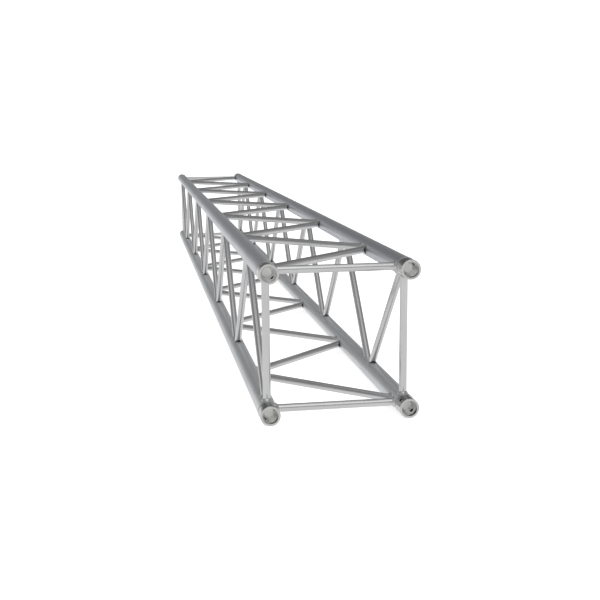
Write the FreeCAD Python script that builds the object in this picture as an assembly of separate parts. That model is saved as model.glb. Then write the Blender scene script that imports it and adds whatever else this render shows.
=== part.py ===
import FreeCAD, Part
import os

# A square box truss for lighting rigs, welded from aluminium tube.
# X runs along the truss, Y across it and Z up.  The origin is under the middle of the truss, on
# the surface that it rests on.  "Front" is the -X end, and left (+Y) and right are seen from there.

# ---- Driving dimensions, mm ----
LENGTH = 4000.0              # end face to end face
CHORD_SPACING = 350.0        # chord centre to chord centre, both across and up
CHORD_DIAMETER = 50.0
CHORD_WALL = 3.0
BRACE_DIAMETER = 20.0        # end posts and diagonals
BRACE_WALL = 2.0
DIAGONALS_PER_FACE = 11
POST_SETBACK = 67.0          # end face to an end post's centreline
LACING_SETBACK = 75.0        # end face to the first node of the lacing
NODE_OFFSET = 5.0            # from a node to a diagonal's centreline, along the chord's centreline

# Conical receivers, one in each end of each chord
SHOULDER_LENGTH = 45.0       # end face to the middle of the weld at the chord
SOCKET_DEPTH = 35.0
SOCKET_MOUTH_DIAMETER = 38.0
SOCKET_FLOOR_DIAMETER = 25.0
FLOOR_THICKNESS = 10.0
SPIGOT_SETBACK = 70.0        # end face to the spigot's inner end
SPIGOT_CLEARANCE = 0.2       # radial, between the spigot and the inside of the chord
SPIGOT_BORE_DIAMETER = 32.0
PIN_HOLE_DIAMETER = 10.0     # for the cross pin that locks a coupler in the socket
PIN_HOLE_SETBACK = 20.0      # end face to the cross pin's centreline
EDGE_CHAMFER = 1.0

# Butt welds between receivers and chords, in V-shaped grooves
GROOVE_ROOT_GAP = 1.6
GROOVE_TOP_WIDTH = 7.0
WELD_CAP_HEIGHT = 1.0        # how far a weld stands proud of the chord

# ---- Derived sizes and places ----
CHORD_RADIUS = CHORD_DIAMETER / 2
CHORD_BORE_RADIUS = CHORD_RADIUS - CHORD_WALL
BRACE_RADIUS = BRACE_DIAMETER / 2
BRACE_BORE_RADIUS = BRACE_RADIUS - BRACE_WALL
SPIGOT_RADIUS = CHORD_BORE_RADIUS - SPIGOT_CLEARANCE
MOUTH_RADIUS = SOCKET_MOUTH_DIAMETER / 2
FLOOR_RADIUS = SOCKET_FLOOR_DIAMETER / 2
FRONT_X = -LENGTH / 2
HALF_SPACING = CHORD_SPACING / 2
AXIS_HEIGHT = WELD_CAP_HEIGHT + CHORD_RADIUS + HALF_SPACING
HALF_BAY = (LENGTH - 2 * LACING_SETBACK) / DIAGONALS_PER_FACE

ORIGIN = FreeCAD.Vector(0, 0, 0)
X_AXIS = FreeCAD.Vector(1, 0, 0)
TRUSS_CENTRE = FreeCAD.Vector(0, 0, AXIS_HEIGHT)

# Chords and faces in the order that quarter turns about the truss's long axis bring them round.
# The top face runs from the top left chord to the top right chord, and so on.
CHORD_NAMES = ("top_left", "top_right", "bottom_right", "bottom_left")
FACE_NAMES = ("top", "right", "bottom", "left")
QUARTER_TURN = 90.0


# ---- Placing ----
def quarter_turned(shape, turns):
    """A copy of the shape, carried round the truss's long axis by quarter turns."""
    turned = shape.copy()
    turned.rotate(TRUSS_CENTRE, X_AXIS, QUARTER_TURN * turns)
    return turned


def at_rear(shape):
    """The matching shape at the other end of the truss."""
    return shape.mirror(ORIGIN, X_AXIS)


def top_chord_point(x, side):
    """A point on a top chord's centreline: side is +1 on the left chord and -1 on the right."""
    return FreeCAD.Vector(x, side * HALF_SPACING, AXIS_HEIGHT + HALF_SPACING)


# ---- Turned pieces, drawn as a half section of (x, radius) points and spun about the X axis ----
def section_point(x, radius):
    return FreeCAD.Vector(x, 0, radius)


def turned_solid(edges):
    """The solid that a closed chain of half-section edges sweeps round the X axis."""
    return Part.Face(Part.Wire(edges)).revolve(ORIGIN, X_AXIS, 360.0)


def turned_from_points(points):
    corners = [section_point(x, radius) for x, radius in points]
    closed = zip(corners, corners[1:] + corners[:1])
    return turned_solid([Part.makeLine(start, end) for start, end in closed])


def groove_edge(direction):
    """A weld groove's side, -1 for the receiver's and +1 for the chord's, measured from x = 0 at
    the end face: the x of its top, at the chord's surface, and of its root, at its bore."""
    top = SHOULDER_LENGTH + direction * GROOVE_TOP_WIDTH / 2
    root = SHOULDER_LENGTH + direction * GROOVE_ROOT_GAP / 2
    return top, root


def chord():
    """A chord tube on the X axis, bevelled at both ends for its welds."""
    top, root = groove_edge(+1)
    return turned_from_points([
        (FRONT_X + top, CHORD_RADIUS),
        (-FRONT_X - top, CHORD_RADIUS),
        (-FRONT_X - root, CHORD_BORE_RADIUS),
        (FRONT_X + root, CHORD_BORE_RADIUS),
    ])


def pin_hole():
    """The cross pin's hole on the X axis, square to it and along a diagonal of the section."""
    across = FreeCAD.Vector(0, 1, 1)
    across.normalize()
    start = FreeCAD.Vector(PIN_HOLE_SETBACK, 0, 0) - across * CHORD_DIAMETER
    return Part.makeCylinder(PIN_HOLE_DIAMETER / 2, 2 * CHORD_DIAMETER, start, across)


def receiver():
    """A front receiver on the X axis, from its end face at x = 0: a conical socket with a flat
    floor, a shoulder as wide as the chord, and a hollow spigot that fits inside the chord."""
    top, root = groove_edge(-1)
    taper = (MOUTH_RADIUS - FLOOR_RADIUS) / SOCKET_DEPTH
    lead_in_radius = MOUTH_RADIUS - taper * EDGE_CHAMFER
    floor_back = SOCKET_DEPTH + FLOOR_THICKNESS
    body = turned_from_points([
        (EDGE_CHAMFER, lead_in_radius),
        (0, lead_in_radius + EDGE_CHAMFER),
        (0, CHORD_RADIUS - EDGE_CHAMFER),
        (EDGE_CHAMFER, CHORD_RADIUS),
        (top, CHORD_RADIUS),
        (root, CHORD_BORE_RADIUS),
        (root, SPIGOT_RADIUS),
        (SPIGOT_SETBACK - EDGE_CHAMFER, SPIGOT_RADIUS),
        (SPIGOT_SETBACK, SPIGOT_RADIUS - EDGE_CHAMFER),
        (SPIGOT_SETBACK, SPIGOT_BORE_DIAMETER / 2),
        (floor_back, SPIGOT_BORE_DIAMETER / 2),
        (floor_back, 0),
        (SOCKET_DEPTH, 0),
        (SOCKET_DEPTH, FLOOR_RADIUS),
    ])
    return body.cut(pin_hole())


def butt_weld():
    """The weld that fills the groove behind a front receiver, with a low rounded cap."""
    front_top, front_root = groove_edge(-1)
    rear_top, rear_root = groove_edge(+1)
    cap = Part.Arc(
        section_point(front_top, CHORD_RADIUS),
        section_point(SHOULDER_LENGTH, CHORD_RADIUS + WELD_CAP_HEIGHT),
        section_point(rear_top, CHORD_RADIUS),
    )
    sides = Part.makePolygon([
        section_point(rear_top, CHORD_RADIUS),
        section_point(rear_root, CHORD_BORE_RADIUS),
        section_point(rear_root, SPIGOT_RADIUS),
        section_point(front_root, SPIGOT_RADIUS),
        section_point(front_root, CHORD_BORE_RADIUS),
        section_point(front_top, CHORD_RADIUS),
    ])
    return turned_solid([cap.toShape()] + sides.Edges)


# ---- Braces ----
def brace(start, end):
    """A straight tube between points on two chords' centrelines, coped to sit on the chords."""
    line = end - start
    tube = Part.makeCylinder(BRACE_RADIUS, line.Length, start, line)
    bore = Part.makeCylinder(BRACE_BORE_RADIUS, line.Length, start, line)
    reach = X_AXIS * CHORD_DIAMETER
    chords = [
        Part.makeCylinder(CHORD_RADIUS, 2 * reach.Length, point - reach, X_AXIS)
        for point in (start, end)
    ]
    return tube.cut([bore] + chords)


def end_post():
    """The front end post of the top face."""
    x = FRONT_X + POST_SETBACK
    return brace(top_chord_point(x, +1), top_chord_point(x, -1))


def diagonal(index):
    """A diagonal of the top face, counted from 0 at the front.  They zigzag from chord to chord,
    starting on the left."""
    side = +1 if index % 2 == 0 else -1
    node_x = FRONT_X + LACING_SETBACK + index * HALF_BAY
    start = top_chord_point(node_x + NODE_OFFSET, side)
    end = top_chord_point(node_x + HALF_BAY - NODE_OFFSET, -side)
    return brace(start, end)


# ---- The assembly ----
def on_top_left_chord(shape, x=0.0):
    """The shape, made on the X axis, moved along by x and onto the top left chord's centreline."""
    return shape.translated(top_chord_point(x, +1))


def truss():
    """Every node of the truss, by name."""
    top_left_chord = on_top_left_chord(chord())
    top_left_receiver = on_top_left_chord(receiver(), FRONT_X)
    top_left_weld = on_top_left_chord(butt_weld(), FRONT_X)
    nodes = {}
    for turns, name in enumerate(CHORD_NAMES):
        front_receiver = quarter_turned(top_left_receiver, turns)
        nodes[f"chord_{name}"] = quarter_turned(top_left_chord, turns)
        nodes[f"receiver_front_{name}"] = front_receiver
        nodes[f"receiver_rear_{name}"] = at_rear(front_receiver)
    for name, shape in (("butt_welds", top_left_weld), ("end_posts", end_post())):
        front_four = Part.makeCompound([quarter_turned(shape, turns) for turns in range(4)])
        nodes[f"{name}_front"] = front_four
        nodes[f"{name}_rear"] = at_rear(front_four)
    for index in range(DIAGONALS_PER_FACE):
        top_diagonal = diagonal(index)
        for turns, name in enumerate(FACE_NAMES):
            nodes[f"diagonal_{name}_{index + 1:02d}"] = quarter_turned(top_diagonal, turns)
    return nodes


os.makedirs("parts", exist_ok=True)
for node_name, node_shape in truss().items():
    node_shape.exportStep(f"parts/{node_name}.step")
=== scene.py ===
import math

import bmesh
import bpy
from mathutils import Matrix, Vector


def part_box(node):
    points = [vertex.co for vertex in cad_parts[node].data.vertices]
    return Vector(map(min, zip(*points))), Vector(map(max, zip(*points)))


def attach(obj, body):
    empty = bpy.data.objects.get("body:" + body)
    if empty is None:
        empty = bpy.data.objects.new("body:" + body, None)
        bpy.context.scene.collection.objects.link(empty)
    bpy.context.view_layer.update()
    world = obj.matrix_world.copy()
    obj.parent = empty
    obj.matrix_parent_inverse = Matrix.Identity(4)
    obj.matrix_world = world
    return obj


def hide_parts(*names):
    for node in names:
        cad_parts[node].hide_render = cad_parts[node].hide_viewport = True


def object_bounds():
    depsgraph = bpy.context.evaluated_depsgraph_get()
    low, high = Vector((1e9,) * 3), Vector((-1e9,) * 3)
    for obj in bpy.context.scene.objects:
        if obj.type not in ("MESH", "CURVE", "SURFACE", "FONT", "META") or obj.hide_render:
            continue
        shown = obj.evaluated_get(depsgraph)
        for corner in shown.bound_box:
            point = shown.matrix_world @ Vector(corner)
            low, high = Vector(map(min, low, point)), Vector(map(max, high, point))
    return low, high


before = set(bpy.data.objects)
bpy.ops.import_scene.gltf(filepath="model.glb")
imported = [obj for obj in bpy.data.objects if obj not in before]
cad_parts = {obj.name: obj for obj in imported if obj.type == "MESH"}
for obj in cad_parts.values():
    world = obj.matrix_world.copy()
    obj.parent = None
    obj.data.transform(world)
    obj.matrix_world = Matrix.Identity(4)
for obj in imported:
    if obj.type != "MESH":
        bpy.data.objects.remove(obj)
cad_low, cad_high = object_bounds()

# A square lighting truss in welded aluminium tube.  Metres, in the frame's axes: X along the truss
# from its front end to its rear end, Y to the left seen from the front, Z up.

QUARTERS = ("top_left", "top_right", "bottom_right", "bottom_left")
FACES = ("top", "right", "bottom", "left")
ENDS = (("front", False), ("rear", True))    # each end, and whether it is the rear one
QUARTER_TURN = math.pi / 2
X_AXIS = Vector((1, 0, 0))

# ---- Sizes that the frame's boxes don't give ----
# Tubes
CHORD_WALL = 0.003
BRACE_WALL = 0.002
NODE_OFFSET = 0.005          # from a lacing node to a diagonal's centreline, along the chord

# Receivers
SOCKET_DEPTH = 0.035
SOCKET_MOUTH = 0.019         # radius
SOCKET_FLOOR = 0.0125        # radius
FLOOR_THICKNESS = 0.010
SPIGOT_CLEARANCE = 0.0002
SPIGOT_BORE = 0.016          # radius
PIN_HOLE_RADIUS = 0.005
PIN_HOLE_SETBACK = 0.020
EDGE = 0.001                 # the size of chamfers and small roundings

# Butt welds, each in a groove between a receiver and its chord
SHOULDER = 0.045             # end face to the middle of the groove
GROOVE_TOP = 0.007           # the groove's width at the chord's surface
GROOVE_ROOT = 0.0016         # and at its bore
BUTT_TROUGH = 0.55           # a bead's height between its ripples, as a share of its full height
BUTT_RIPPLE = 0.42           # and what a ripple adds
BUTT_LAG = 0.35              # how far a ripple's middle trails its edges, in ripples

# Fillet welds round the brace ends
FILLET_LEG = 0.0048
FILLET_BULGE = 0.0007
FILLET_SINK = 0.0003         # how far a bead's edges sink into the tubes
FILLET_TROUGH = 0.7          # these three as for the butt welds
FILLET_RIPPLE = 0.6
FILLET_LAG = 0.4

# Ripples on both
RIPPLE_PITCH = 0.0028
RIPPLE_SKEW = 0.6            # below 1, a ripple rises faster than it falls

# ---- How fine the meshes are ----
CHORD_SIDES = 128
BRACE_SIDES = 64
ROUNDING_STEPS = 4
BUTT_STEPS = 5               # along the bead, for each ripple
BUTT_ACROSS = 8
FILLET_STEPS = 4
FILLET_ACROSS = 6
MERGE_DISTANCE = 1e-6
CREASE = 35.0                # degrees; sharper edges than this stay sharp
BEAD_CREASE = 60.0

# ---- Painted shade in the weld creases and socket mouths, 0 where there is none and 1 where it is black ----
PAINTED_SHADE = "painted_shade"                # the mesh attribute that holds it
TOE_SHADE = 0.6               # painted shade along the creases at a butt weld's edges
HEEL_SHADE_START = 0.2             # the cosine, from a fillet weld's heel, where its painted shade begins
HEEL_SHADE_GAIN = 3.0              # and how fast it darkens from there
MOUTH_SHADE_DEPTH = 0.009          # of the painted shade just inside the socket mouths
MOUTH_SHADE_STEPS = 4              # rings of corners on the socket's wall that carry it
MOUTH_SHADE_SIDE = Vector((0, -0.6, -0.8))    # the side of a socket that its painted shade is on, the same in the world for every socket
MOUTH_SHADE_START = 0.6            # the cosine, from that side, where the painted shade begins
MOUTH_SHADE_GAIN = 3.0
# how dark the painted shade in each quarter's socket mouths is
MOUTH_SHADES = {"top_left": 0.0, "top_right": 0.7, "bottom_right": 1.0, "bottom_left": 0.9}

# ---- Places and sizes from the frame ----
chord_low, chord_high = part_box("chord_top_left")
chord_centre = (chord_low + chord_high) / 2
CHORD_RADIUS = (chord_high.y - chord_low.y) / 2
CHORD_BORE = CHORD_RADIUS - CHORD_WALL
HALF_SPACING = chord_centre.y
AXIS_HEIGHT = chord_centre.z - HALF_SPACING
FRONT_X = cad_low.x
WELD_CAP = cad_high.z - chord_high.z
SPIGOT_RADIUS = CHORD_BORE - SPIGOT_CLEARANCE
SPIGOT_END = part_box("receiver_front_top_left")[1].x - FRONT_X
post_low, post_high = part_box("end_posts_front")
POST_X = (post_low.x + post_high.x) / 2
BRACE_RADIUS = (post_high.x - post_low.x) / 2


def node_centre(name):
    low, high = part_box(name)
    return (low + high) / 2


HALF_BAY = node_centre("diagonal_top_02").x - node_centre("diagonal_top_01").x
DIAGONALS = sum(name.startswith("diagonal_top_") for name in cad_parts)


# ---- Placing ----
def turn(quarters):
    """Carries things round the truss's long axis by quarter turns."""
    centre = Matrix.Translation((0, 0, AXIS_HEIGHT))
    return centre @ Matrix.Rotation(QUARTER_TURN * quarters, 4, "X") @ centre.inverted()


def on_chord(quarters, x, rear=False):
    """From a turned piece's own axes, X along its centreline from its end face inwards, to its
    place on a chord.  At the rear end the piece faces the other way."""
    flip = Matrix.Rotation(math.pi, 4, "Z") if rear else Matrix.Identity(4)
    place = Matrix.Translation((0, HALF_SPACING, AXIS_HEIGHT + HALF_SPACING))
    return turn(quarters) @ place @ flip @ Matrix.Translation((x, 0, 0))


def top_chord_point(x, side):
    return Vector((x, side * HALF_SPACING, AXIS_HEIGHT + HALF_SPACING))


def post_ends(rear):
    """The ends of a top face end post's centreline, on the chords' centrelines."""
    x = -POST_X if rear else POST_X
    return top_chord_point(x, +1), top_chord_point(x, -1)


def diagonal_ends(index):
    """The same for a diagonal of the top face."""
    side = +1 if index % 2 == 0 else -1
    middle = node_centre(f"diagonal_top_{index + 1:02d}").x
    half_run = HALF_BAY / 2 - NODE_OFFSET
    return top_chord_point(middle - half_run, side), top_chord_point(middle + half_run, -side)


# ---- Meshes ----
def add_object(name, data):
    thing = bpy.data.objects.new(name, data)
    bpy.context.scene.collection.objects.link(thing)
    return thing


def new_mesh(name, bm):
    """A mesh with a bmesh's shape.  The bmesh is used up."""
    mesh = bpy.data.meshes.new(name)
    bm.to_mesh(mesh)
    bm.free()
    return mesh


def smooth_mesh(name, bm, crease=CREASE):
    """The same with outward normals, and smooth but for its sharp edges."""
    bmesh.ops.recalc_face_normals(bm, faces=bm.faces)
    limit = math.radians(crease)
    for edge in bm.edges:
        edge.smooth = len(edge.link_faces) == 2 and edge.calc_face_angle(0) < limit
    for face in bm.faces:
        face.smooth = True
    return new_mesh(name, bm)


def add_rings(bm, rings, closed=True):
    """Adds a skin through rings of points and returns its corners, ring by ring.  Each ring is a
    loop, and in a closed skin the last ring joins the first."""
    corners = [[bm.verts.new(point) for point in ring] for ring in rings]
    followers = corners[1:] + corners[:1] if closed else corners[1:]
    for ring, follower in zip(corners, followers):
        for i in range(len(ring)):
            j = (i + 1) % len(ring)
            bm.faces.new((ring[i], ring[j], follower[j], follower[i]))
    return corners


def add_cap(bm, ring, middle):
    """Closes a ring of corners with triangles that meet in its middle."""
    tip = bm.verts.new(middle)
    for i in range(len(ring)):
        bm.faces.new((tip, ring[i], ring[(i + 1) % len(ring)]))


def angles_round(count):
    return [2 * math.pi * i / count for i in range(count)]


def round_x(x, radius, angle):
    """A point at an angle round the X axis, from +Y towards +Z."""
    return Vector((x, radius * math.cos(angle), radius * math.sin(angle)))


def spun(profile, sides):
    """A profile of (x, radius) points as rings of points round the X axis."""
    return [[round_x(x, radius, a) for a in angles_round(sides)] for x, radius in profile]


def rounded(corner, before, after):
    """Points that round a corner between its neighbours, from EDGE before it to EDGE after it."""
    corner, before, after = Vector(corner), Vector(before), Vector(after)
    start = corner + (before - corner).normalized() * EDGE
    end = corner + (after - corner).normalized() * EDGE
    points = []
    for i in range(ROUNDING_STEPS + 1):
        t = i / ROUNDING_STEPS
        points.append(tuple(start.lerp(corner, t).lerp(corner.lerp(end, t), t)))
    return points


def make_piece(name, mesh, place, materials, replaced=()):
    """A finished piece of the truss, riding on its one body."""
    piece = add_object(name, mesh)
    piece.matrix_world = place
    for material in materials:
        mesh.materials.append(material)
    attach(piece, "root")
    if replaced:
        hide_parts(*replaced)


# ---- Chords ----
def groove_edge(direction):
    """How far a weld groove's top and root are from the end face, on the receiver's side, -1, or
    the chord's, +1."""
    return SHOULDER + direction * GROOVE_TOP / 2, SHOULDER + direction * GROOVE_ROOT / 2


def chord_mesh():
    top, root = groove_edge(+1)
    half_top = -FRONT_X - top
    half_root = -FRONT_X - root
    profile = [
        (-half_top, CHORD_RADIUS),
        (half_top, CHORD_RADIUS),
        (half_root, CHORD_BORE),
        (-half_root, CHORD_BORE),
    ]
    bm = bmesh.new()
    add_rings(bm, spun(profile, CHORD_SIDES))
    return smooth_mesh("chord", bm)


# ---- Receivers ----
def receiver_profile():
    """Half section from the middle of the socket's floor, round the outside, to the middle of the
    floor's back."""
    top, root = groove_edge(-1)
    floor_back = SOCKET_DEPTH + FLOOR_THICKNESS
    floor_middle = (SOCKET_DEPTH, 0.0)
    floor_corner = (SOCKET_DEPTH, SOCKET_FLOOR)
    mouth_corner = (0.0, SOCKET_MOUTH + EDGE / 2)
    rim_corner = (0.0, CHORD_RADIUS)
    shoulder = (top, CHORD_RADIUS)
    profile = [floor_middle]
    profile += rounded(floor_corner, floor_middle, mouth_corner)
    # rings on the socket's wall that carry its painted shade
    for step in range(MOUTH_SHADE_STEPS, 0, -1):
        depth = MOUTH_SHADE_DEPTH * step / MOUTH_SHADE_STEPS
        wall_point = Vector(mouth_corner).lerp(Vector(floor_corner), depth / SOCKET_DEPTH)
        profile.append(tuple(wall_point))
    profile += rounded(mouth_corner, floor_corner, rim_corner)
    profile += rounded(rim_corner, mouth_corner, shoulder)
    profile += [
        shoulder,
        (root, CHORD_BORE),
        (root, SPIGOT_RADIUS),
        (SPIGOT_END - EDGE, SPIGOT_RADIUS),
        (SPIGOT_END, SPIGOT_RADIUS - EDGE),
        (SPIGOT_END, SPIGOT_BORE),
        (floor_back, SPIGOT_BORE),
        (floor_back, 0.0),
    ]
    return profile


def solid_receiver_mesh():
    """A receiver before its cross pin hole is drilled."""
    profile = receiver_profile()
    bm = bmesh.new()
    corners = add_rings(bm, spun(profile[1:-1], CHORD_SIDES), closed=False)
    for (x, _), ring in ((profile[0], corners[0]), (profile[-1], corners[-1])):
        add_cap(bm, ring, (x, 0, 0))
    return smooth_mesh("receiver_solid", bm)


def drill_mesh():
    """A rod as wide as the cross pin hole, and longer than a receiver is thick."""
    bm = bmesh.new()
    bmesh.ops.create_cone(
        bm, cap_ends=True, segments=BRACE_SIDES, radius1=PIN_HOLE_RADIUS,
        radius2=PIN_HOLE_RADIUS, depth=4 * CHORD_RADIUS,
    )
    return new_mesh("drill", bm)


def lies_along(face, direction):
    """Whether a face is within 30 degrees of a direction."""
    return abs(face.normal.dot(direction)) < math.sin(math.radians(30))


def sort_faces(mesh):
    """Gives a receiver's faces their finishes, as numbered by RECEIVER_FINISHES."""
    turned, reamed, polished, hole, faced = range(len(RECEIVER_FINISHES))
    pin = Vector((0, 1, 1)).normalized()
    for face in mesh.polygons:
        x, y, z = face.center
        radius = math.hypot(y, z)
        from_pin = Vector((x - PIN_HOLE_SETBACK, y, z))
        from_pin -= from_pin.dot(pin) * pin
        # the pin hole's wall takes the near-black finish of painted shade
        if from_pin.length < PIN_HOLE_RADIUS + EDGE / 4 and lies_along(face, pin):
            face.material_index = hole
        elif radius > CHORD_RADIUS - EDGE:
            face.material_index = polished
        elif x < SOCKET_DEPTH - EDGE / 2 and radius < SOCKET_MOUTH and lies_along(face, X_AXIS):
            face.material_index = reamed
        elif x < EDGE and radius > SOCKET_MOUTH:
            face.material_index = faced
        else:
            face.material_index = turned


def receiver_mesh():
    receiver = add_object("receiver", solid_receiver_mesh())
    drill = add_object("drill", drill_mesh())
    drill.matrix_world = (
        Matrix.Translation((PIN_HOLE_SETBACK, 0, 0))
        @ Matrix.Rotation(-QUARTER_TURN / 2, 4, "X")
    )
    cut = receiver.modifiers.new("cut", "BOOLEAN")
    cut.object = drill
    cut.solver = "EXACT"
    bpy.context.view_layer.update()
    bm = bmesh.new()
    bm.from_object(receiver, bpy.context.evaluated_depsgraph_get())
    for thing in (receiver, drill):
        bpy.data.objects.remove(thing)
    bmesh.ops.dissolve_degenerate(bm, edges=bm.edges, dist=MERGE_DISTANCE)
    mesh = smooth_mesh("receiver", bm)
    sort_faces(mesh)
    return mesh


def shade_socket_mouth(mesh, place, strength):
    """Paints shade inside a socket's mouth, for a receiver placed by a matrix."""
    painted_shade = mesh.attributes.new(PAINTED_SHADE, "FLOAT", "POINT")
    for corner in mesh.vertices:
        x, y, z = corner.co
        if x > MOUTH_SHADE_DEPTH or math.hypot(y, z) > SOCKET_MOUTH + EDGE:
            continue
        outward = (place.to_3x3() @ Vector((0, y, z))).normalized()
        around = min(1, MOUTH_SHADE_GAIN * max(0, outward.dot(MOUTH_SHADE_SIDE) - MOUTH_SHADE_START))
        inwards = min(1, 2 - 2 * x / MOUTH_SHADE_DEPTH)    # it fades over the deeper half
        painted_shade.data[corner.index].value = strength * around * inwards


# ---- Braces ----
def brace_axes(start, end):
    """A brace's directions: along it, sideways in the plane that it shares with the chords, out of
    that plane, and straight across from start's chord to the other."""
    along = (end - start).normalized()
    normal = X_AXIS.cross(along).normalized()
    return along, normal.cross(along), normal, normal.cross(X_AXIS)


def brace_matrix(start, end):
    along, side, normal, _ = brace_axes(start, end)
    turned = Matrix((along, side, normal)).transposed().to_4x4()
    return Matrix.Translation((start + end) / 2) @ turned


def out_of_brace(angle, axes):
    """The direction out of a brace at an angle round it."""
    _, side, normal, _ = axes
    return math.cos(angle) * side + math.sin(angle) * normal


def cope_distance(angle, radius, axes, end=+1):
    """How far along a brace, from a chord's centreline, a line on the brace's surface meets the
    chord's surface: end is +1 at the brace's start and -1 at its other end."""
    along, _, normal, across = axes
    offset = radius * out_of_brace(angle, axes)
    reach = math.sqrt(CHORD_RADIUS ** 2 - offset.dot(normal) ** 2)
    return (reach - end * offset.dot(across)) / along.dot(across)


def brace_mesh(start, end):
    """A brace along its own X axis, with its middle at the origin and both ends coped to fit the
    chords."""
    axes = brace_axes(start, end)
    half = (end - start).length / 2
    rings = []
    for radius, ends in ((BRACE_RADIUS, (+1, -1)), (BRACE_RADIUS - BRACE_WALL, (-1, +1))):
        for sign in ends:
            rings.append([
                round_x(sign * (cope_distance(angle, radius, axes, sign) - half), radius, angle)
                for angle in angles_round(BRACE_SIDES)
            ])
    bm = bmesh.new()
    add_rings(bm, rings)
    return smooth_mesh("brace", bm)


# ---- Welds ----
def ripple(turns):
    """The height of weld ripples, 0 to 1, after a number of them."""
    return math.sin(math.pi * (turns % 1.0) ** RIPPLE_SKEW)


def add_butt_weld(bm, place):
    """A rippled weld ring in the groove behind a receiver, placed by a matrix."""
    front_top, front_root = groove_edge(-1)
    rear_top, rear_root = groove_edge(+1)
    ripples = round(2 * math.pi * CHORD_RADIUS / RIPPLE_PITCH)
    painted_shade = bm.verts.layers.float.get(PAINTED_SHADE)
    rings = []
    for step, angle in enumerate(angles_round(BUTT_STEPS * ripples)):
        section = []
        for a in range(BUTT_ACROSS + 1):
            t = (1 - math.cos(math.pi * a / BUTT_ACROSS)) / 2
            arch = math.sin(math.pi * a / BUTT_ACROSS)
            crest = ripple(step / BUTT_STEPS + BUTT_LAG * arch)
            height = WELD_CAP * arch * (BUTT_TROUGH + BUTT_RIPPLE * crest)
            section.append((front_top + (rear_top - front_top) * t, CHORD_RADIUS + height))
        section += [(rear_root, SPIGOT_RADIUS), (front_root, SPIGOT_RADIUS)]
        rings.append([place @ round_x(x, radius, angle) for x, radius in section])
    # painted shade along the creases at both edges of the bead
    for ring in add_rings(bm, rings):
        for toe in (0, BUTT_ACROSS):
            ring[toe][painted_shade] = TOE_SHADE


def add_fillet_weld(bm, start, end, place):
    """A rippled weld round a brace's end at start, where it meets its chord."""
    axes = brace_axes(start, end)
    along, across = axes[0], axes[-1]
    round_length = math.pi * BRACE_RADIUS * (1 + 1 / along.dot(across))
    ripples = round(round_length / RIPPLE_PITCH)
    painted_shade = bm.verts.layers.float.get(PAINTED_SHADE)
    rings = []
    shades = []
    for step, angle in enumerate(angles_round(FILLET_STEPS * ripples)):
        section = fillet_section(start, axes, angle, step / FILLET_STEPS)
        rings.append([place @ point for point in section])
        # painted shade in a diagonal's heel, the acute crease between it and its chord
        heel = out_of_brace(angle, axes).x * math.copysign(1, along.x)
        shades.append(min(1, HEEL_SHADE_GAIN * abs(along.x) * max(0, heel - HEEL_SHADE_START)))
    for ring, shade in zip(add_rings(bm, rings), shades):
        for corner in ring:
            corner[painted_shade] = shade


def fillet_section(start, axes, angle, turns):
    """The points round a fillet weld's bead at an angle round its brace, after a number of
    ripples."""
    along = axes[0]
    outward = out_of_brace(angle, axes)
    foot = start + BRACE_RADIUS * outward + cope_distance(angle, BRACE_RADIUS, axes) * along
    off_chord = square_to_x(foot - start).normalized()
    spread = (outward - outward.dot(off_chord) * off_chord).normalized()
    on_brace = foot + FILLET_LEG * along - FILLET_SINK * outward
    on_chord = foot + FILLET_LEG * spread
    radial = square_to_x(on_chord - start)
    on_chord += radial.normalized() * (CHORD_RADIUS - FILLET_SINK - radial.length)
    face = (along + spread).normalized()
    section = []
    for a in range(FILLET_ACROSS + 1):
        t = a / FILLET_ACROSS
        arch = math.sin(math.pi * t)
        crest = ripple(turns + FILLET_LAG * arch)
        height = FILLET_BULGE * arch * (FILLET_TROUGH + FILLET_RIPPLE * crest)
        section.append(on_brace.lerp(on_chord, t) + height * face)
    section.append(foot - 2 * FILLET_SINK * face)
    return section


def square_to_x(vector):
    """A vector without its part along the chords."""
    return Vector((0, vector.y, vector.z))


def weld_mesh(name, add_weld, seams):
    """One mesh of many welds, each added by add_weld from its own arguments."""
    bm = bmesh.new()
    bm.verts.layers.float.new(PAINTED_SHADE)
    for seam in seams:
        add_weld(bm, *seam)
    return smooth_mesh(name, bm, BEAD_CREASE)


# ---- Materials ----
# Each finish: its darkest and lightest colour, how rough it is, and how metallic
TUBE_FINISHES = {
    "chord_aluminium": ((0.585, 0.60, 0.64), (0.655, 0.67, 0.71), 0.35, 1.0),
    # painted light: the lower chords' copy of the chord metal, lighter and less metallic so that
    # they look lighter
    "chord_aluminium_painted_lighter": ((0.61, 0.62, 0.635), (0.69, 0.70, 0.715), 0.37, 0.90),
    "brace_aluminium": ((0.61, 0.61, 0.615), (0.70, 0.70, 0.705), 0.17, 1.0),
}
RECEIVER_FINISHES = {
    "receiver_turned": ((0.50, 0.50, 0.49), (0.63, 0.63, 0.62), 0.26, 1.0),
    "receiver_reamed": ((0.86, 0.86, 0.85), (0.93, 0.93, 0.92), 0.20, 0.88),
    "receiver_polished": ((0.55, 0.55, 0.55), (0.68, 0.68, 0.68), 0.10, 1.0),
    # painted shade: the cross pin hole's wall is near black
    "receiver_pin_hole_painted_shade": ((0.06, 0.06, 0.06), (0.12, 0.12, 0.12), 0.40, 1.0),
    "receiver_faced": ((0.54, 0.54, 0.53), (0.68, 0.68, 0.67), 0.26, 1.0),
}
WELD_DARK = (0.52, 0.52, 0.53)
WELD_LIGHT = (0.80, 0.80, 0.80)
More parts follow.
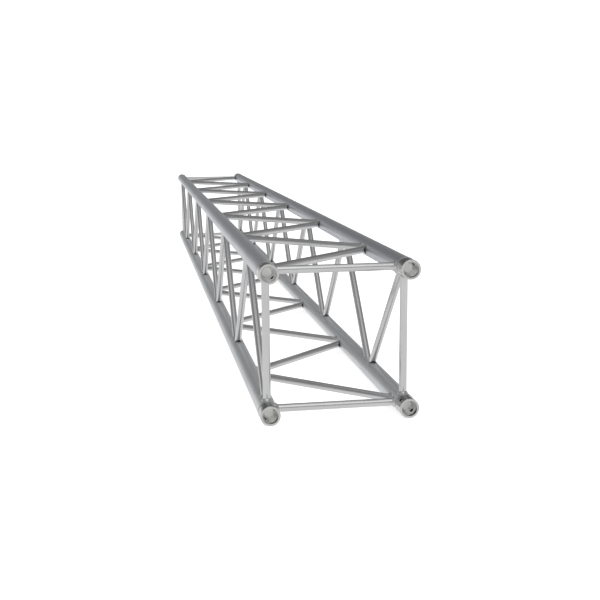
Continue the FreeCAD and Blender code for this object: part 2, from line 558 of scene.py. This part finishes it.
# the colour of the darkest painted shade
PAINTED_SHADE_COLOUR = (0.02, 0.02, 0.02)
NOISE_SPAN = (0.3, 0.7)      # where nearly all of a noise's values lie
LINES_IN_WEAR = 0.45         # how much a tube's die lines count in its wear
SMUDGES_IN_WEAR = 0.55
WEAR_SPAN = (0.35, 0.65)     # the wear over which its colour changes
GRAIN_IN_BUMP = 0.3
TUBE_SPREAD = (0.08, -0.06)  # how its roughness varies, from the least wear to the most
TOOL_SPREAD = (-0.05, 0.05)  # the same across a receiver's tool rings
WELD_ROUGHNESS = (0.28, 0.45)
PAINTED_SHADE_GRAIN = (0.2, 0.6)      # the noise over which painted shade thickens
PAINTED_SHADE_COVER = (0.7, 1)        # and how much of the metal it then covers


class Nodes:
    """A short way to add and link a tree's shader nodes."""

    def __init__(self, tree):
        self.tree = tree

    def add(self, kind, inputs=(), **settings):
        """A new node: settings are its properties, inputs its sockets' values or links."""
        node = self.tree.nodes.new(kind)
        for key, value in settings.items():
            setattr(node, key, value)
        for key, value in dict(inputs).items():
            self.set(node, key, value)
        return node

    def set(self, node, key, value):
        """Gives a node's input a link, a number, a vector or a colour."""
        socket = node.inputs[key]
        if isinstance(value, bpy.types.NodeSocket):
            self.tree.links.new(value, socket)
        elif socket.type == "RGBA":
            socket.default_value = (*value, 1)
        else:
            socket.default_value = value

    def ranged(self, value, span, results):
        """A value carried from one span to another, and held at its ends."""
        return self.add(
            "ShaderNodeMapRange",
            {"Value": value, "From Min": span[0], "From Max": span[1], "To Min": results[0],
             "To Max": results[1]},
        ).outputs["Result"]

    def maths(self, operation, *values):
        return self.add("ShaderNodeMath", enumerate(values), operation=operation).outputs[0]

    def weighed(self, first, first_weight, second, second_weight):
        """The sum of two values, each times its weight."""
        first_part = self.maths("MULTIPLY", first, first_weight)
        return self.maths("MULTIPLY_ADD", second, second_weight, first_part)

    def tint(self, factor, first, second):
        """A colour from first to second by a factor, where each is a colour or a socket.  A Mix
        node has its colours at inputs 6 and 7 and its result at output 2."""
        return self.add(
            "ShaderNodeMix", {0: factor, 6: first, 7: second}, data_type="RGBA",
        ).outputs[2]

    def glossy_ray(self):
        """1 for what metal reflects, and 0 for the rest."""
        return self.add("ShaderNodeLightPath").outputs["Is Glossy Ray"]


class Surface(Nodes):
    """The nodes of a new material."""

    def __init__(self, name):
        self.material = bpy.data.materials.new(name)
        self.material.use_nodes = True
        super().__init__(self.material.node_tree)

    def finish(self, inputs):
        """The material, with its shader's inputs set."""
        for key, value in inputs.items():
            self.set(self.tree.nodes["Principled BSDF"], key, value)
        return self.material

    def noise(self, scale, stretch=(1, 1, 1), detail=4.0, roughness=0.5):
        """Noise in the piece's own axes.  A stretch below 1 draws it out along that axis."""
        coordinates = self.add("ShaderNodeTexCoord").outputs["Object"]
        mapping = self.add("ShaderNodeMapping", {"Vector": coordinates, "Scale": stretch})
        return self.add(
            "ShaderNodeTexNoise",
            {"Vector": mapping.outputs[0], "Scale": scale, "Detail": detail,
             "Roughness": roughness},
        ).outputs["Fac"]

    def varied(self, value, middle, spread):
        """A number that varies about its middle with a noise, by a spread of two ends."""
        return self.ranged(value, NOISE_SPAN, [middle + end for end in spread])

    def with_painted_shade(self, unshaded, grain):
        """A colour, darkened towards black where a mesh's attribute holds painted shade."""
        painted_shade = self.add("ShaderNodeAttribute", attribute_name=PAINTED_SHADE).outputs["Fac"]
        patchy = self.ranged(grain, PAINTED_SHADE_GRAIN, PAINTED_SHADE_COVER)
        cover = self.maths("MULTIPLY", painted_shade, patchy)
        return self.tint(cover, unshaded, PAINTED_SHADE_COLOUR)

    def bump(self, height, distance, strength):
        return self.add(
            "ShaderNodeBump", {"Height": height, "Distance": distance, "Strength": strength},
        ).outputs["Normal"]


def tube_material(name, dark, light, rough, metallic):
    """Drawn aluminium tube, with its die lines along X, faint smudges and a grain."""
    n = Surface(name)
    lines = n.noise(scale=900, stretch=(0.004, 1, 1), detail=3)
    smudges = n.noise(scale=14, stretch=(0.35, 1, 1), detail=5, roughness=0.6)
    grain = n.noise(scale=2500, detail=2)
    wear = n.weighed(lines, LINES_IN_WEAR, smudges, SMUDGES_IN_WEAR)
    height = n.weighed(lines, 1, grain, GRAIN_IN_BUMP)
    return n.finish({
        "Base Color": n.tint(n.ranged(wear, WEAR_SPAN, (0, 1)), dark, light),
        "Metallic": metallic,
        "Roughness": n.varied(wear, rough, TUBE_SPREAD),
        "Normal": n.bump(height, distance=0.00002, strength=0.5),
    })


def machined_material(name, dark, light, rough, metallic):
    """Machined aluminium, with fine tool rings round the X axis, darkened towards black where a
    mesh holds painted shade.
    """
    n = Surface(name)
    rings = n.noise(scale=2600, stretch=(1, 0.02, 0.02), detail=2)
    smudges = n.noise(scale=40)
    return n.finish({
        "Base Color": n.with_painted_shade(n.tint(smudges, dark, light), smudges),
        "Metallic": metallic,
        "Roughness": n.varied(rings, rough, TOOL_SPREAD),
        "Normal": n.bump(rings, distance=0.00003, strength=0.6),
    })


def weld_material(name):
    """Bright as-welded aluminium with a fine grain, darkened towards black where a mesh holds
    painted shade.
    """
    n = Surface(name)
    grain = n.noise(scale=1200)
    patches = n.noise(scale=60, detail=3)
    return n.finish({
        "Base Color": n.with_painted_shade(n.tint(patches, WELD_DARK, WELD_LIGHT), grain),
        "Metallic": 1.0,
        "Roughness": n.ranged(grain, NOISE_SPAN, WELD_ROUGHNESS),
        "Normal": n.bump(grain, distance=0.00005, strength=0.5),
    })


# ---- The truss ----
def build_chords(tube_metals, receiver_metals):
    """The four chords with their receivers."""
    chord = chord_mesh()
    receiver = receiver_mesh()
    for quarter, name in enumerate(QUARTERS):
        upper = name.startswith("top")
        # the lower chords take the lighter copy of the chord metal, painted light
        metal = tube_metals["chord_aluminium" if upper else "chord_aluminium_painted_lighter"]
        node = f"chord_{name}"
        place = on_chord(quarter, 0)
        make_piece(f"{node}_tube", chord.copy(), place, [metal], [node])
        for end, rear in ENDS:
            node = f"receiver_{end}_{name}"
            place = on_chord(quarter, FRONT_X, rear)
            mesh = receiver.copy()
            # painted shade inside the socket's mouth
            shade_socket_mouth(mesh, place, MOUTH_SHADES[name])
            make_piece(
                f"{node}_turned", mesh, place, receiver_metals, [node],
            )


def build_ends(brace_metal, weld_metal):
    """The butt welds and the end posts."""
    post = brace_mesh(*post_ends(False))
    for end, rear in ENDS:
        node = f"butt_welds_{end}"
        seams = [[on_chord(quarter, FRONT_X, rear)] for quarter in range(len(QUARTERS))]
        mesh = weld_mesh(node, add_butt_weld, seams)
        make_piece(f"{node}_rippled", mesh, Matrix(), [weld_metal], [node])
        for quarter, face in enumerate(FACES):
            place = turn(quarter) @ brace_matrix(*post_ends(rear))
            make_piece(
                f"end_post_{end}_{face}", post.copy(), place, [brace_metal],
                [f"end_posts_{end}"],
            )


def build_lacing(brace_metal, weld_metal):
    """The diagonals, and the fillet welds of each face's diagonals and end posts."""
    diagonal = brace_mesh(*diagonal_ends(0))
    braces = [diagonal_ends(index) for index in range(DIAGONALS)]
    braces += [post_ends(rear) for _, rear in ENDS]
    for quarter, face in enumerate(FACES):
        for index in range(DIAGONALS):
            node = f"diagonal_{face}_{index + 1:02d}"
            place = turn(quarter) @ brace_matrix(*diagonal_ends(index))
            make_piece(
                f"{node}_tube", diagonal.copy(), place, [brace_metal], [node],
            )
        seams = []
        for start, end in braces:
            seams += [(start, end, turn(quarter)), (end, start, turn(quarter))]
        name = f"fillet_welds_{face}"
        mesh = weld_mesh(name, add_fillet_weld, seams)
        make_piece(name, mesh, Matrix(), [weld_metal])


def build_truss():
    tube_metals = {name: tube_material(name, *look) for name, look in TUBE_FINISHES.items()}
    receiver_metals = [machined_material(name, *look) for name, look in RECEIVER_FINISHES.items()]
    weld_metal = weld_material("weld_aluminium")
    build_chords(tube_metals, receiver_metals)
    build_ends(tube_metals["brace_aluminium"], weld_metal)
    build_lacing(tube_metals["brace_aluminium"], weld_metal)


# ---- Studio ----
FLOOR_SIZE = 60.0
FLOOR_WHITE = (0.70, 0.70, 0.70)
FLOOR_GLOW = 0.55            # light from the floor itself, which softens the shadows
FLOOR_IN_METAL = 0.81        # how light the floor looks in metal, with no shadows
DAYLIGHT = 1.25
# How light the walls and ceiling look in metal, at elevations above the floor in degrees
SHADES_AHEAD = (
    (0, 0.66), (4, 0.50), (8, 0.32), (12, 0.18), (17, 0.12), (25, 0.12), (36, 0.14), (50, 0.16),
    (60, 0.28), (72, 0.54), (90, 0.50),
)
SHADES_AROUND = (
    (0, 0.72), (8, 0.54), (15, 0.42), (22, 0.33), (30, 0.27), (42, 0.24), (50, 0.24), (60, 0.38),
    (72, 0.74), (90, 0.72),
)
AHEAD_SPAN = (0.50, 0.92)    # a direction's X where the walls ahead begin, and where they are all

SOFTBOX_AT = (-6.3, 0.4, 5.7)
SOFTBOX_TARGET = (-2.0, 0, 0.2)
SOFTBOX_SIZE = (6.0, 5.6)
SOFTBOX_POWER = 82           # watts

CAMERA_AHEAD = 2.324         # in front of the end face
CAMERA_LEFT = 0.488          # of the truss's middle
CAMERA_HEIGHT = 0.741
CAMERA_HEADING = -9.63       # degrees to the left of +X
CAMERA_TILT = -10.48         # degrees upwards
CAMERA_ROLL = -0.42
CAMERA_LENS = 59.93          # millimetres
CAMERA_SENSOR = 36.0         # its width, millimetres
CAMERA_SHIFT = (-0.0045, 0.0044)    # in picture widths
CAMERA_REACH = 200.0


def add_floor():
    bm = bmesh.new()
    bmesh.ops.create_grid(bm, x_segments=1, y_segments=1, size=FLOOR_SIZE / 2)
    floor = add_object("floor", new_mesh("floor", bm))
    floor.location.z = cad_low.z
    n = Surface("floor_paint")
    glossy_ray = n.glossy_ray()
    paint = n.finish({
        "Base Color": n.tint(glossy_ray, FLOOR_WHITE, (0, 0, 0)),
        "Roughness": 0.9,
        "Emission Color": (1, 1, 1),
        "Emission Strength": n.ranged(glossy_ray, (0, 1), (FLOOR_GLOW, FLOOR_IN_METAL)),
    })
    floor.data.materials.append(paint)


def wall_shades(n, height, shades):
    """A ramp of greys over a direction's height, the sine of its elevation."""
    ramp = n.add("ShaderNodeValToRGB", {0: height})
    stops = ramp.color_ramp.elements
    while len(stops) < len(shades):
        stops.new(1.0)
    for stop, (elevation, shade) in zip(stops, shades):
        stop.position = math.sin(math.radians(elevation))
        stop.color = (shade, shade, shade, 1)
    return ramp.outputs[0]


def add_world():
    """A studio that lights the floor evenly and looks white.  Metal sees its walls: pale near the
    floor, dark above that, darkest straight ahead, and a lit ceiling."""
    world = bpy.data.worlds.new("studio")
    bpy.context.scene.world = world
    world.use_nodes = True
    world.node_tree.nodes.clear()
    n = Nodes(world.node_tree)
    direction = n.add("ShaderNodeTexCoord").outputs["Generated"]
    parts = n.add("ShaderNodeSeparateXYZ", {0: direction}).outputs
    around = wall_shades(n, parts["Z"], SHADES_AROUND)
    ahead = wall_shades(n, parts["Z"], SHADES_AHEAD)
    shades = n.tint(n.ranged(parts["X"], AHEAD_SPAN, (0, 1)), around, ahead)
    walls = n.add("ShaderNodeBackground", {"Color": shades})
    white = n.add("ShaderNodeBackground", {"Color": (1, 1, 1), "Strength": DAYLIGHT})
    sides = {0: n.glossy_ray(), 1: white.outputs[0], 2: walls.outputs[0]}
    mix = n.add("ShaderNodeMixShader", sides)
    n.add("ShaderNodeOutputWorld", {"Surface": mix.outputs[0]})


def add_softbox():
    data = bpy.data.lights.new("key", "AREA")
    data.shape = "RECTANGLE"
    data.size, data.size_y = SOFTBOX_SIZE
    data.energy = SOFTBOX_POWER
    light = add_object("key", data)
    light.location = SOFTBOX_AT
    light.visible_camera = False
    direction = Vector(SOFTBOX_TARGET) - Vector(SOFTBOX_AT)
    light.rotation_euler = direction.to_track_quat("-Z", "Y").to_euler()


def add_camera():
    data = bpy.data.cameras.new("camera")
    data.sensor_width = CAMERA_SENSOR
    data.lens = CAMERA_LENS
    data.shift_x, data.shift_y = CAMERA_SHIFT
    data.clip_end = CAMERA_REACH
    camera = add_object("camera", data)
    place = Matrix.Translation((FRONT_X - CAMERA_AHEAD, CAMERA_LEFT, CAMERA_HEIGHT))
    heading = Matrix.Rotation(math.radians(CAMERA_HEADING - 90), 4, "Z")
    tilt = Matrix.Rotation(math.radians(90 + CAMERA_TILT), 4, "X")
    roll = Matrix.Rotation(math.radians(CAMERA_ROLL), 4, "Z")
    camera.matrix_world = place @ heading @ tilt @ roll
    bpy.context.scene.camera = camera


def set_up_studio():
    add_floor()
    add_world()
    add_softbox()
    add_camera()
    bpy.context.scene.view_settings.view_transform = "Standard"


build_truss()
set_up_studio()
